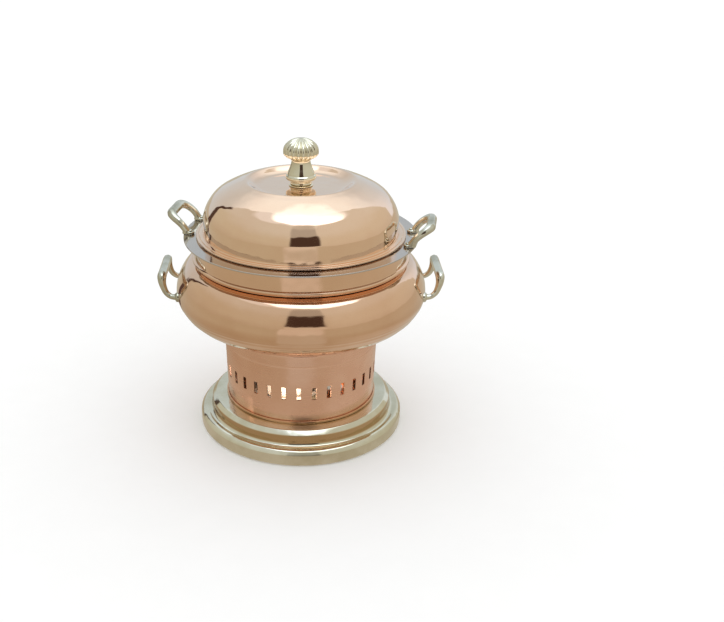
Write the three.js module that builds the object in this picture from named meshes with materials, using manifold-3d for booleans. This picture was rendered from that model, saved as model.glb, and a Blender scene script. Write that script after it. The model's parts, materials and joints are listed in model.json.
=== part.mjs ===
// Soup kettle for a buffet: a burner stand, a water bowl, a food pan and a lid, all lifting
// off each other. Millimetres, +Z up, origin on the table under the middle of the stand.
// The -Y side is the front. Every round piece is turned about the Z axis.
import * as THREE from 'three';
import { mergeVertices } from 'three/addons/utils/BufferGeometryUtils.js';
import Module from 'manifold-3d';

const wasm = await Module();
wasm.setup();

// ---- driving dimensions ---------------------------------------------------------------------
const GAP = 0.3; // clearance between pieces that touch
const ROUND = 32; // facets around the large spun pieces
const ROUND_SMALL = 20; // facets around small turned pieces

const BASE_R = 117.2; // outer radius of the base
const RIM_H = 15; // height of the upright rim of the base
const DECK_Z = 35; // top face of the base, where the drum stands
const DECK_SLOPE = 5; // width and height of the deck's sloping edge
const BASE_WALL = 1.6;

const DRUM_R = 87.2; // outer radius of the vented drum at its top
const DRUM_FOOT_R = 84.5; // and at its foot
const DRUM_TOP = 118.4; // seat of the water bowl
const DRUM_WALL = 1.4;
const DRUM_LIP_R = 79; // inner edge of the drum's turned-in top
const RING_W = 1.6; // width of the bead ring round the drum's foot
const RING_H = 2.6;

const SLOT_COUNT = 32;
const SLOT_W = 4.8;
const SLOT_Z = [64.4, 79];
const SLOT_TURN = -1.6; // degrees from the front to the nearest slot

const BOWL_WALL = 1.5;
const BELLY_R = 139.4; // widest radius of the water bowl
const BELLY_Z = 164; // height of the widest circle
const BOWL_FLOOR_Z = 113; // underside of the bowl's floor
const BOWL_MOUTH_R = 114;
const BOWL_MOUTH_Z = 199.6;

const COLLAR_R = 118.2;
const COLLAR_TOP = 225.4;
const COLLAR_BEAD_Z = 203.4; // height of the bead near the collar's foot
const COLLAR_WALL = 1.4;

const PAN_R = 112; // outer radius of the food pan's wall
const PAN_FLOOR_Z = 140; // underside of the food pan
const FLANGE_R = 129;
const FLANGE_Z = COLLAR_TOP + GAP; // underside of the pan's flange
const PAN_WALL = 1.4;

const BRIM_R = 115.2;
const BRIM_Z = 229.4; // top of the lid's brim
const LID_R = 107;
const LID_WALL = 1.4;
const RECESS_R = 50; // shallow dish at the top of the lid
const RECESS_Z = 282;
const KNOB_TOP = 334;
const SCREW_R = 2.4; // knob screw

const GRIP_R = 4.9; // radius of a handle's thick grip
const LEG_R = 3.1; // radius of a handle's legs
const RIVET_R = 1.5;
const RIVET_HEAD_R = 2.8;
const PAN_TURN = -10; // degrees that the food pan sits turned in the bowl

const BURNER_X = -17; // the burner stands a little to the left of the middle
const TRAY_R = 40;
const TRAY_WALL = 1;
const CUP_R = 34;
const CUP_Z = [DECK_Z + TRAY_WALL + 2 * GAP, 68];
const MOUTH_R = 19; // opening in the burner's cover
const PIVOT_X = 27; // the snuffer's pivot pin, from the middle of the burner

// ---- materials ------------------------------------------------------------------------------
function metal(color, roughness) {
  return () => new THREE.MeshStandardMaterial({ color, roughness, metalness: 1 });
}
const copper = metal(0xd9926b, 0.16);
const drumCopper = metal(0xd08a66, 0.3);
const brass = metal(0xd6c393, 0.2);
const steel = metal(0xb9bdbf, 0.25);
const felt = () => new THREE.MeshStandardMaterial({ color: 0xd9d4c6, roughness: 1, metalness: 0 });

// ---- turned and spun shapes -----------------------------------------------------------------
const p2 = (r, z) => new THREE.Vector2(r, z);

// Points on an arc in the (radius, height) plane, angles in degrees from the outward direction.
function arc(r, z, radius, from, to, steps) {
  return Array.from({ length: steps + 1 }, (_, i) => {
    const a = THREE.MathUtils.degToRad(from + ((to - from) * i) / steps);
    return p2(r + radius * Math.cos(a), z + radius * Math.sin(a));
  });
}

// A smooth outline through a few points.
function smooth(points, steps) {
  return new THREE.SplineCurve(points).getPoints(steps);
}

// Turns an outline about the Z axis. The outline runs up the outside and down the inside.
function turned(outline, segments) {
  return new THREE.LatheGeometry(outline, segments).rotateX(Math.PI / 2);
}

// The outline moved sideways by a distance: to the left of its direction, which is inwards.
function offset(outline, distance) {
  const normals = outline.slice(1).map((b, i) => {
    const d = b.clone().sub(outline[i]).normalize();
    return p2(-d.y, d.x);
  });
  return outline.map((p, i) => {
    const before = normals[Math.max(i - 1, 0)];
    const after = normals[Math.min(i, normals.length - 1)];
    const middle = before.clone().add(after).normalize();
    const moved = p.clone().addScaledVector(middle, distance / middle.dot(after));
    return p.x === 0 ? p2(0, moved.y) : moved;
  });
}

// A sheet-metal shell: the outline is its outer face, from one edge to the other.
function spun(outline, wall, segments = ROUND) {
  const inner = offset(outline, wall).reverse();
  const closed = [...outline, ...inner];
  const ends = [outline[0], inner[inner.length - 1]];
  if (ends.every((p) => p.x > 0)) closed.push(outline[0].clone());
  return turned(closed, segments);
}

// A ring or disc of rectangular section.
function ring(innerR, outerR, z0, z1, segments = ROUND_SMALL) {
  const corners = [p2(innerR, z0), p2(outerR, z0), p2(outerR, z1), p2(innerR, z1)];
  return turned(innerR > 0 ? [...corners, corners[0].clone()] : corners, segments);
}

// ---- cutting and joining --------------------------------------------------------------------
function solid(geometry) {
  const bare = geometry.clone();
  bare.deleteAttribute('normal');
  bare.deleteAttribute('uv');
  const merged = mergeVertices(bare, 1e-3);
  return new wasm.Manifold(new wasm.Mesh({
    numProp: 3,
    vertProperties: new Float32Array(merged.attributes.position.array),
    triVerts: new Uint32Array(merged.index.array),
  }));
}

function geometryOf(manifold) {
  const mesh = manifold.getMesh();
  const geometry = new THREE.BufferGeometry();
  geometry.setAttribute('position', new THREE.BufferAttribute(mesh.vertProperties, 3));
  geometry.setIndex(new THREE.BufferAttribute(mesh.triVerts, 1));
  return geometry;
}

const without = (body, tools) =>
  tools.reduce((left, tool) => left.subtract(solid(tool)), solid(body));
const joined = (pieces) => pieces.slice(1).reduce((sum, g) => sum.add(solid(g)), solid(pieces[0]));

// A round bar along Z, or along the outward radial direction at an angle and height.
function bar(radius, z0, z1, x = 0, y = 0, segments = 12) {
  const geometry = new THREE.CylinderGeometry(radius, radius, z1 - z0, segments);
  return geometry.rotateX(Math.PI / 2).translate(x, y, (z0 + z1) / 2);
}

function radialBar(radius, r0, r1, degrees, z, segments = 12) {
  const geometry = new THREE.CylinderGeometry(radius, radius, r1 - r0, segments);
  const turn = THREE.MathUtils.degToRad(degrees);
  return geometry.rotateZ(-Math.PI / 2).translate((r0 + r1) / 2, 0, z).rotateZ(turn);
}

// ---- outlines that more than one piece uses -------------------------------------------------
// Outer face of the water bowl: flat floor, underside, belly, shoulder, edge of the mouth.
const bowlOutline = [
  p2(0, BOWL_FLOOR_Z),
  p2(73.4, BOWL_FLOOR_Z),
  p2(78, DRUM_TOP + GAP),
  ...smooth([
    p2(84, 119.2), p2(92, 121.6), p2(104, 127), p2(117, 133), p2(130, 143), p2(137, 153.6),
    p2(BELLY_R, BELLY_Z), p2(136.8, 178.6), p2(132, 186.8), p2(126, 193.6), p2(118.6, 198.4),
  ], 13),
  p2(BOWL_MOUTH_R, BOWL_MOUTH_Z),
];

// ---- stand ----------------------------------------------------------------------------------
function basePlate() {
  const coveR = 4.8; // the hollow between the rim's moulding and the deck's sloping edge
  const coveX = BASE_R - 8.8;
  const deckX = coveX - coveR;
  const outline = [
    p2(111, 0), p2(115, 0), p2(BASE_R, 2.4), p2(BASE_R, RIM_H - 2), p2(BASE_R - 1, RIM_H),
    ...arc(BASE_R - 6.6, RIM_H - 2.4, 5.8, 40, 90, 2),
    ...arc(coveX, RIM_H + 7.4, coveR, -90, -180, 3),
    p2(deckX, DECK_Z - DECK_SLOPE - 0.8), p2(deckX - 0.6, DECK_Z - DECK_SLOPE + 0.4),
    p2(deckX - DECK_SLOPE + 0.2, DECK_Z - 0.8), p2(deckX - DECK_SLOPE - 2.2, DECK_Z),
    p2(0, DECK_Z),
  ];
  return spun(outline, BASE_WALL);
}

function drumFootRing() {
  const inner = DRUM_FOOT_R + GAP + 0.2;
  const low = DECK_Z + GAP;
  const high = low + RING_H;
  const outline = [
    p2(inner, low), p2(inner + RING_W - 0.6, low), p2(inner + RING_W, low + RING_H / 3),
    p2(inner + RING_W, low + (2 * RING_H) / 3), p2(inner + RING_W - 0.6, high), p2(inner, high),
  ];
  return turned([...outline, p2(inner, low)], ROUND);
}

function ventDrum() {
  const outline = [
    p2(DRUM_FOOT_R, DECK_Z + GAP), p2(DRUM_R, DRUM_TOP - 2),
    p2(DRUM_R - 1.6, DRUM_TOP), p2(DRUM_LIP_R, DRUM_TOP),
  ];
  const pairs = SLOT_COUNT / 2;
  const cutters = Array.from({ length: pairs }, (_, i) => {
    const turn = THREE.MathUtils.degToRad(90 + SLOT_TURN + (i * 180) / pairs);
    const [low, high] = SLOT_Z;
    const cutter = new THREE.BoxGeometry(2 * DRUM_R + 10, SLOT_W, high - low);
    return cutter.translate(0, 0, (low + high) / 2).rotateZ(turn);
  });
  return geometryOf(without(spun(outline, DRUM_WALL), cutters));
}

// ---- burner, built round its own axis -------------------------------------------------------
// A shallow loose dish on the deck that the cup stands in.
function burnerTray() {
  const floor = DECK_Z + GAP;
  const outline = [p2(0, floor), p2(TRAY_R - 2, floor), p2(TRAY_R, floor + 2), p2(TRAY_R, floor + 6)];
  return spun(outline, TRAY_WALL, ROUND_SMALL + 8);
}

function fuelCup() {
  const [low, high] = CUP_Z;
  return spun([p2(0, low), p2(CUP_R - 2, low), p2(CUP_R, low + 2), p2(CUP_R, high)], 1.1, 28);
}

const fuelWick = () => ring(0, CUP_R - 2.8, CUP_Z[0] + 1.4, CUP_Z[1] - 10, 28);

const COVER_TOP = CUP_Z[1] + 1.6;

function cupCover() {
  const skirt = CUP_R + GAP;
  const [low, high] = [CUP_Z[1] - 3, CUP_Z[1] + GAP];
  const outline = [p2(MOUTH_R, high), p2(skirt, high), p2(skirt, low), p2(skirt + 1.2, low),
    p2(skirt + 1.2, COVER_TOP - 0.8), p2(skirt + 0.4, COVER_TOP), p2(MOUTH_R, COVER_TOP),
    p2(MOUTH_R, high)];
  return geometryOf(without(turned(outline, 28), [bar(2, high - 2, COVER_TOP + 2, PIVOT_X)]));
}

// The pin on which the snuffer turns, with a head on each side of the cover and the snuffer.
function snufferPin() {
  const [low, high] = [CUP_Z[1], COVER_TOP + 3];
  const profile = [
    p2(0, low - 1.2), p2(3.2, low - 1.2), p2(3.2, low), p2(1.7, low),
    p2(1.7, high), p2(3.2, high), p2(3.2, high + 1.4), p2(0, high + 1.4),
  ];
  return turned(profile, 16).translate(PIVOT_X, 0, 0);
}

const SNUFFER_Z = COVER_TOP + 0.5;
const SNUFFER_T = 1.8;
const TAIL_X = 38; // place of the snuffer's knob

// A disc over the burner's mouth with an ear round the pivot pin and a tail to push.
function snufferDisc() {
  const disc = bar(MOUTH_R + 2.6, SNUFFER_Z, SNUFFER_Z + SNUFFER_T, 0, 0, 28);
  const arm = new THREE.BoxGeometry(26, 8, SNUFFER_T).translate(29, 0, SNUFFER_Z + SNUFFER_T / 2);
  const ear = bar(5.4, SNUFFER_Z, SNUFFER_Z + SNUFFER_T, PIVOT_X, 0, 16);
  const hole = solid(bar(1.95, SNUFFER_Z - 1, SNUFFER_Z + SNUFFER_T + 1, PIVOT_X, 0, 16));
  const knobHole = solid(bar(RIVET_R + GAP, SNUFFER_Z - 1, SNUFFER_Z + SNUFFER_T + 1, TAIL_X, 0, 12));
  return geometryOf(joined([disc, arm, ear]).subtract(hole).subtract(knobHole));
}

function snufferKnob() {
  const foot = SNUFFER_Z + SNUFFER_T + GAP;
  const profile = [
    p2(0, SNUFFER_Z), p2(RIVET_R, SNUFFER_Z), p2(RIVET_R, foot), p2(2.6, foot),
    p2(2.6, foot + 1.2), p2(3.6, foot + 3), p2(2.8, foot + 5), p2(0, foot + 5.6),
  ];
  return turned(profile, 14).translate(TAIL_X, 0, 0);
}

// ---- water bowl -----------------------------------------------------------------------------
const BOWL_FOOT_H = 32; // half the distance between a bowl handle's feet
const BOWL_FOOT_Z = 163.6;
const bowlRivetAngle = THREE.MathUtils.radToDeg(Math.asin(BOWL_FOOT_H / BELLY_R));
const bowlRivetTurns = { left: [180 - bowlRivetAngle, 180 + bowlRivetAngle],
  right: [bowlRivetAngle, -bowlRivetAngle] };

function bowlShell() {
  const holes = Object.values(bowlRivetTurns).flat()
    .map((turn) => radialBar(RIVET_R + GAP, BELLY_R - 8, BELLY_R + 4, turn, BOWL_FOOT_Z));
  return geometryOf(without(spun(bowlOutline, BOWL_WALL), holes));
}

function neckCollar() {
  const outline = [
    p2(114.8, BOWL_MOUTH_Z + 0.5), p2(117, BOWL_MOUTH_Z), p2(COLLAR_R, BOWL_MOUTH_Z + 0.6),
    ...arc(COLLAR_R + 0.4, COLLAR_BEAD_Z, 2, -60, 60, 3),
    p2(COLLAR_R, COLLAR_BEAD_Z + 2.6), p2(COLLAR_R, COLLAR_TOP - 0.8), p2(COLLAR_R - 0.8, COLLAR_TOP),
    p2(COLLAR_R - 2.6, COLLAR_TOP),
  ];
  return spun(outline, COLLAR_WALL);
}

const bowlFootRing = () => ring(71, 73, 106, BOWL_FLOOR_Z - GAP, ROUND);

// A loop handle in its own frame: X outwards from the kettle's axis, Y along the grip. The
// leg runs through the given points, and its mirror image makes the other end.
function handleLoop(leg, radius) {
  const points = leg.map(([x, y, z]) => new THREE.Vector3(x, y, z));
  const mirrored = points.map((p) => new THREE.Vector3(p.x, -p.y, p.z)).reverse();
  const path = new THREE.CatmullRomCurve3([...points, ...mirrored], false, 'centripetal');
  const section = new THREE.Shape().absarc(0, 0, radius, 0, 2 * Math.PI);
  const settings = { steps: 22, curveSegments: 4, bevelEnabled: false, extrudePath: path };
  return new THREE.ExtrudeGeometry(section, settings);
}

function grip(x, z, halfLength) {
  const end = 3;
  const profile = [p2(0, -halfLength), p2(GRIP_R - 1.4, -halfLength), p2(GRIP_R, -halfLength + end),
    p2(GRIP_R, halfLength - end), p2(GRIP_R - 1.4, halfLength), p2(0, halfLength)];
  return new THREE.LatheGeometry(profile, 12).translate(x, 0, z);
}

function bowlHandle(side) {
  const [gripX, gripZ] = [152.2, 186.8];
  const leg = [
    [130, BOWL_FOOT_H, BOWL_FOOT_Z], [140, 31.4, BOWL_FOOT_Z], [146.2, 29.6, 166],
    [150.4, 29, 174], [gripX, 26, gripZ - 2.2], [gripX, 18, gripZ],
  ];
  const turns = [-bowlRivetAngle, bowlRivetAngle];
  const pads = turns.map((turn) => radialBar(5.4, BELLY_R - 6, BELLY_R + 2.6, turn, BOWL_FOOT_Z, 16));
  const holes = turns.map((turn) =>
    radialBar(RIVET_R + GAP, BELLY_R - 8, BELLY_R + 1.6, turn, BOWL_FOOT_Z));
  const bowlBlank = turned([...offset(bowlOutline, -GAP - 0.1), p2(0, BOWL_MOUTH_Z)], ROUND);
  const loop = geometryOf(joined([handleLoop(leg, LEG_R), grip(gripX, gripZ, 24), ...pads]));
  const handle = geometryOf(without(loop, [bowlBlank, ...holes]));
  return handle.rotateZ(side === 'left' ? Math.PI : 0);
}

// Head inside the bowl, shank through the wall into the handle's foot.
function bowlRivet(turn) {
  const inside = BELLY_R - BOWL_WALL - 2.3;
  const profile = [
    p2(0, inside - 1.6), p2(RIVET_HEAD_R - 1, inside - 1.4), p2(RIVET_HEAD_R, inside - 0.4),
    p2(RIVET_HEAD_R, inside), p2(RIVET_R, inside), p2(RIVET_R, BELLY_R + 1.2), p2(0, BELLY_R + 1.2),
  ];
  const geometry = new THREE.LatheGeometry(profile, 12).rotateZ(-Math.PI / 2);
  return geometry.translate(0, 0, BOWL_FOOT_Z).rotateZ(THREE.MathUtils.degToRad(turn));
}

// ---- food pan -------------------------------------------------------------------------------
const PAN_FOOT = [119.6, 23.6]; // a pan handle's rivet: out from the axis, and half the spacing
const PAN_FOOT_H = 3; // thickness of the foot
const PAN_LEG_R = 3.5; // the pan's handles are rounder and heavier than the bowl's
const panRivetPlaces = { left: [[-PAN_FOOT[0], PAN_FOOT[1]], [-PAN_FOOT[0], -PAN_FOOT[1]]],
  right: [[PAN_FOOT[0], PAN_FOOT[1]], [PAN_FOOT[0], -PAN_FOOT[1]]] };

function panLiner() {
  const corner = 16;
  const outline = [
    p2(0, PAN_FLOOR_Z),
    ...arc(PAN_R - corner - 2, PAN_FLOOR_Z + corner, corner, -90, 0, 4),
    p2(PAN_R, FLANGE_Z - 4), p2(PAN_R + 0.9, FLANGE_Z - 1.2), p2(PAN_R + 3.4, FLANGE_Z),
    p2(FLANGE_R, FLANGE_Z),
  ];
  const holes = Object.values(panRivetPlaces).flat().map(([x, y]) => bar(RIVET_R + GAP, 220, 234, x, y));
  return geometryOf(without(spun(outline, PAN_WALL), holes));
}

function panHandle(side) {
  const seat = FLANGE_Z + PAN_WALL + GAP;
  const [gripX, gripZ] = [142.6, 247.4];
  const [footX, footY] = PAN_FOOT;
  const rootX = footX + 5;
  const leg = [
    [rootX - 0.6, footY + 0.4, seat + 2.6], [rootX + 3.4, footY - 0.2, seat + 5.4],
    [135.2, 22.6, 240.2], [140.4, 20, 245.4], [gripX, 14.6, gripZ], [gripX, 8, gripZ],
  ];
  const sides = [1, -1];
  const feet = sides.map((s) => bar(4.6, seat, seat + PAN_FOOT_H, footX, s * footY, 16));
  const shoes = sides.map((s) => bar(3.9, seat, seat + PAN_FOOT_H, rootX, s * (footY + 0.8), 16));
  const holes = sides.map((s) => bar(RIVET_R + GAP, seat - 1, seat + 8, footX, s * footY));
  const below = new THREE.BoxGeometry(60, 90, 20).translate(130, 0, seat - 10);
  const bars = [handleLoop(leg, PAN_LEG_R), grip(gripX, gripZ, 13)];
  const loop = geometryOf(joined([...bars, ...feet, ...shoes]));
  return geometryOf(without(loop, [below, ...holes])).rotateZ(side === 'left' ? Math.PI : 0);
}

// A rivet along Z through a handle's foot and the flange, headed at both ends.
function panRivet([x, y]) {
  const low = FLANGE_Z - GAP;
  const high = FLANGE_Z + PAN_WALL + PAN_FOOT_H + 2 * GAP;
  const profile = [
    p2(0, low - 1.2), p2(RIVET_HEAD_R, low - 1.2), p2(RIVET_HEAD_R, low), p2(RIVET_R, low),
    p2(RIVET_R, high), p2(RIVET_HEAD_R, high), p2(RIVET_HEAD_R - 0.9, high + 1.2), p2(0, high + 1.6),
  ];
  return turned(profile, 12).translate(x, y, 0);
}

// ---- lid ------------------------------------------------------------------------------------
function lidDome() {
  const outline = [
    p2(BRIM_R - 0.8, BRIM_Z - 1.9), p2(BRIM_R, BRIM_Z - 1.2), p2(BRIM_R - 0.8, BRIM_Z), p2(110, BRIM_Z),
    p2(LID_R + 0.4, BRIM_Z + 1.6), p2(LID_R, BRIM_Z + 5),
    ...smooth([
      p2(LID_R, 248), p2(105.1, 255), p2(98.5, 267), p2(88.4, 276.4), p2(64, 287.4),
    ], 7),
    p2(60.8, 288.4), p2(57.4, 288), p2(RECESS_R + 2, 284), p2(RECESS_R - 5, RECESS_Z),
    p2(SCREW_R + 0.5, RECESS_Z),
  ];
  return spun(outline, LID_WALL);
}

// A ring under the brim that drops into the pan's mouth and keeps the lid in place.
const lidLocatingRing = () => ring(106.6, 108, 220, BRIM_Z - LID_WALL - GAP, ROUND);

const WASHER_Z = RECESS_Z + GAP;
const knobWasher = () => ring(SCREW_R + 0.5, 13.4, WASHER_Z, WASHER_Z + 1.4, 24);

function lidKnob() {
  const foot = WASHER_Z + 1.4 + GAP;
  const bore = SCREW_R + GAP;
  const outline = [
    p2(0, foot + 15), p2(bore, foot + 15), p2(bore, foot), p2(11.4, foot), p2(11, 286.4),
    ...smooth([p2(14.6, 287.4), p2(16.7, 290.4), p2(14.8, 296), p2(11, 301), p2(10.2, 305.4)], 6),
    p2(12, 309), p2(16.8, 313.4), p2(19.3, 318.4),
    ...smooth([p2(18.7, 321), p2(15.4, 326.2), p2(9.6, 331), p2(4.4, 333.4), p2(0, KNOB_TOP)], 5),
  ];
  return turned(outline, ROUND_SMALL);
}

// Screw from under the lid into the knob.
function knobScrew() {
  const under = RECESS_Z - LID_WALL - GAP;
  return turned([p2(0, under - 2.6), p2(4.6, under - 2.2), p2(5.6, under - 1), p2(5.6, under),
    p2(SCREW_R, under), p2(SCREW_R, under + 15), p2(0, under + 15)], 16);
}

// ---- assembly -------------------------------------------------------------------------------
function piece(name, geometry, material) {
  const mesh = new THREE.Mesh(geometry, material());
  mesh.name = name;
  return mesh;
}

function stand() {
  const group = new THREE.Group();
  group.add(piece('base_plate', basePlate(), brass));
  group.add(piece('drum_foot_ring', drumFootRing(), drumCopper));
  group.add(piece('vent_drum', ventDrum(), drumCopper));
  return group;
}

function burner() {
  const group = new THREE.Group();
  group.position.x = BURNER_X;
  group.add(piece('burner_tray', burnerTray(), steel));
  group.add(piece('fuel_cup', fuelCup(), steel));
  group.add(piece('fuel_wick', fuelWick(), felt));
  group.add(piece('cup_cover', cupCover(), steel));
  group.add(piece('snuffer_pin', snufferPin(), brass));
  group.add(piece('snuffer_disc', snufferDisc(), steel));
  group.add(piece('snuffer_knob', snufferKnob(), brass));
  return group;
}

function waterBowl() {
  const group = new THREE.Group();
  group.add(piece('bowl_shell', bowlShell(), copper));
  group.add(piece('neck_collar', neckCollar(), copper));
  group.add(piece('bowl_foot_ring', bowlFootRing(), copper));
  for (const side of ['left', 'right']) {
    group.add(piece(`bowl_handle_${side}`, bowlHandle(side), brass));
    bowlRivetTurns[side].forEach((turn, i) => {
      group.add(piece(`bowl_rivet_${side}_${i + 1}`, bowlRivet(turn), brass));
    });
  }
  return group;
}

function foodPan() {
  const group = new THREE.Group();
  group.rotation.z = THREE.MathUtils.degToRad(PAN_TURN);
  group.add(piece('pan_liner', panLiner(), steel));
  for (const side of ['left', 'right']) {
    group.add(piece(`pan_handle_${side}`, panHandle(side), brass));
    panRivetPlaces[side].forEach((place, i) => {
      group.add(piece(`pan_rivet_${side}_${i + 1}`, panRivet(place), brass));
    });
  }
  return group;
}

function lid() {
  const group = new THREE.Group();
  group.add(piece('lid_dome', lidDome(), copper));
  group.add(piece('lid_locating_ring', lidLocatingRing(), copper));
  group.add(piece('knob_washer', knobWasher(), brass));
  group.add(piece('lid_knob', lidKnob(), brass));
  group.add(piece('knob_screw', knobScrew(), steel));
  return group;
}

const kettle = new THREE.Group();
kettle.add(stand(), burner(), waterBowl(), foodPan(), lid());
export default kettle;
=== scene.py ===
"""Soup kettle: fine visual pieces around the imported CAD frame, materials, studio and camera.

Lengths in the outlines are millimetres; meshes are made in metres. Every piece replaces one CAD
node. Outlines are lists of (radius, height), and those of the large spun pieces are fitted to
their node's box.
"""
import json
import math

import bpy
import numpy as np
from mathutils import Matrix, Vector

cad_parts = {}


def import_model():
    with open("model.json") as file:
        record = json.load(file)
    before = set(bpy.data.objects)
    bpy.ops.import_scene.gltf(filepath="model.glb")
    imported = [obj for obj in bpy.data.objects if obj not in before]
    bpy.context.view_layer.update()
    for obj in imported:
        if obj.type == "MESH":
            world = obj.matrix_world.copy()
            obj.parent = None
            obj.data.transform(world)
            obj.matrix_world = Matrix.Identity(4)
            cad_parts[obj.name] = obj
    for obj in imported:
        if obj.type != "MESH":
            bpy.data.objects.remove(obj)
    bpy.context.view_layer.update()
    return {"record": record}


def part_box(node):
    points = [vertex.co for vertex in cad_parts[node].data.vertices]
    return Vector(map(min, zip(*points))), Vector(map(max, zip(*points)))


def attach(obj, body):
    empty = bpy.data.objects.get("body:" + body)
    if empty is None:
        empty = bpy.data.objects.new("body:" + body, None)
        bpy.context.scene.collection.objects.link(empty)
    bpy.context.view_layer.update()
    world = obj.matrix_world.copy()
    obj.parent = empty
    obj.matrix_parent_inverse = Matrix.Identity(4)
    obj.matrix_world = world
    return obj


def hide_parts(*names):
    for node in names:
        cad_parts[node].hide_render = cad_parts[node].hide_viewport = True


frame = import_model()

MM = 0.001
ROUND = 192  # segments around a large spun piece
MEDIUM = 96  # segments around a burner part
SMALL = 48  # segments around a small turned piece
QUARTER = math.radians(90)


# ---- outlines -----------------------------------------------------------------------------------
def arc(r, z, radius, start, end, steps=8):
    """Points on an arc, angles in degrees from the outward direction."""
    angles = np.radians(np.linspace(start, end, steps + 1))
    return [(r + radius * math.cos(a), z + radius * math.sin(a)) for a in angles]


def rounded(points, steps=4):
    """An outline whose corners (r, z, fillet) are rounded; a point without a fillet stays."""
    result = []
    last = len(points) - 1
    for i, point in enumerate(points):
        here = np.array(point[:2], float)
        fillet = point[2] if len(point) > 2 else 0
        if fillet == 0 or i in (0, last):
            result.append(tuple(here))
            continue
        back = np.array(points[i - 1][:2], float) - here
        ahead = np.array(points[i + 1][:2], float) - here
        reach_limit = 0.49 * min(np.linalg.norm(back), np.linalg.norm(ahead))  # keeps curves apart
        back /= np.linalg.norm(back)
        ahead /= np.linalg.norm(ahead)
        half = math.acos(max(-1, min(1, back @ ahead))) / 2
        reach = min(fillet / math.tan(half), reach_limit) if half < 1.56 else 0
        if reach == 0:
            result.append(tuple(here))
            continue
        a, b = here + back * reach, here + ahead * reach
        for t in np.linspace(0, 1, steps + 1):
            result.append(tuple((1 - t) ** 2 * a + 2 * t * (1 - t) * here + t * t * b))
    return result


def smooth(points, steps=8):
    """A centripetal Catmull-Rom curve through points of any dimension."""
    p = [np.array(q, float) for q in points]
    p = [2 * p[0] - p[1]] + p + [2 * p[-1] - p[-2]]
    result = []
    for i in range(1, len(p) - 2):
        a, b, c, d = p[i - 1 : i + 3]
        t0 = 0
        t1 = t0 + np.linalg.norm(b - a) ** 0.5
        t2 = t1 + np.linalg.norm(c - b) ** 0.5
        t3 = t2 + np.linalg.norm(d - c) ** 0.5
        for t in np.linspace(t1, t2, steps, endpoint=False):
            ab = (t1 - t) / (t1 - t0) * a + (t - t0) / (t1 - t0) * b
            bc = (t2 - t) / (t2 - t1) * b + (t - t1) / (t2 - t1) * c
            cd = (t3 - t) / (t3 - t2) * c + (t - t2) / (t3 - t2) * d
            abc = (t2 - t) / (t2 - t0) * ab + (t - t0) / (t2 - t0) * bc
            bcd = (t3 - t) / (t3 - t1) * bc + (t - t1) / (t3 - t1) * cd
            result.append(tuple((t2 - t) / (t2 - t1) * abc + (t - t1) / (t2 - t1) * bcd))
    result.append(tuple(p[-2]))
    return result


def offset(outline, distance):
    """The outline moved to the left of its direction, without the points that would fold over."""
    p = np.array(outline)
    d = np.diff(p, axis=0)
    n = np.stack([-d[:, 1], d[:, 0]], axis=1) / np.linalg.norm(d, axis=1)[:, None]
    before, after = np.vstack([n[:1], n]), np.vstack([n, n[-1:]])
    middle = before + after
    middle /= np.linalg.norm(middle, axis=1)[:, None]
    moved = p + middle * (distance / np.maximum((middle * after).sum(axis=1), 0.5))[:, None]
    moved[p[:, 0] < 1e-6, 0] = 0
    a, b = p[:-1], p[1:]
    kept = []
    for q in moved:
        t = np.clip(((q - a) * (b - a)).sum(axis=1) / ((b - a) ** 2).sum(axis=1), 0, 1)
        gap = np.linalg.norm(q - (a + (b - a) * t[:, None]), axis=1).min()
        if gap > 0.97 * abs(distance):
            kept.append(tuple(q))
    return kept


def lip(a, b, bulge):
    """The rounded edge of a sheet, from one face's end to the other's, bulging to the right."""
    a, b = np.array(a), np.array(b)
    centre, half = (a + b) / 2, (b - a) / 2
    out = np.array([half[1], -half[0]])
    angles = np.radians([150, 120, 90, 60, 30])
    return [tuple(centre + half * math.cos(t) + bulge * out * math.sin(t)) for t in angles]


def shell(outline, wall, bulge=0.8):
    """A closed outline of a sheet: outer face, edge, inner face, edge."""
    inner = offset(outline, wall)[::-1]
    closed = list(outline)
    if outline[-1][0] > 0:
        closed += lip(outline[-1], inner[0], bulge)
    closed += inner
    if outline[0][0] > 0:
        closed += lip(inner[-1], outline[0], bulge)
    return closed


def scratched(outline, low, high, depth, pitch):
    """Fine spinning ripples on the part of an outline between two heights."""
    fade_height = 3
    result = []
    for r, z in outline:
        if low < z < high:
            fade = min(1, (z - low) / fade_height, (high - z) / fade_height)
            turns = 2 * math.pi * z / pitch
            wave = math.sin(turns) + 0.6 * math.sin(turns / 0.61 + 1)
            r -= depth * fade * (1 + wave) / 2
        result.append((r, z))
    return result


# ---- meshes -------------------------------------------------------------------------------------
def new_object(name, verts, faces):
    mesh = bpy.data.meshes.new(name)
    mesh.from_pydata([tuple(v) for v in verts], [], faces)
    mesh.validate()
    mesh.polygons.foreach_set("use_smooth", [True] * len(mesh.polygons))
    piece = bpy.data.objects.new(name, mesh)
    bpy.context.scene.collection.objects.link(piece)
    return piece


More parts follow.
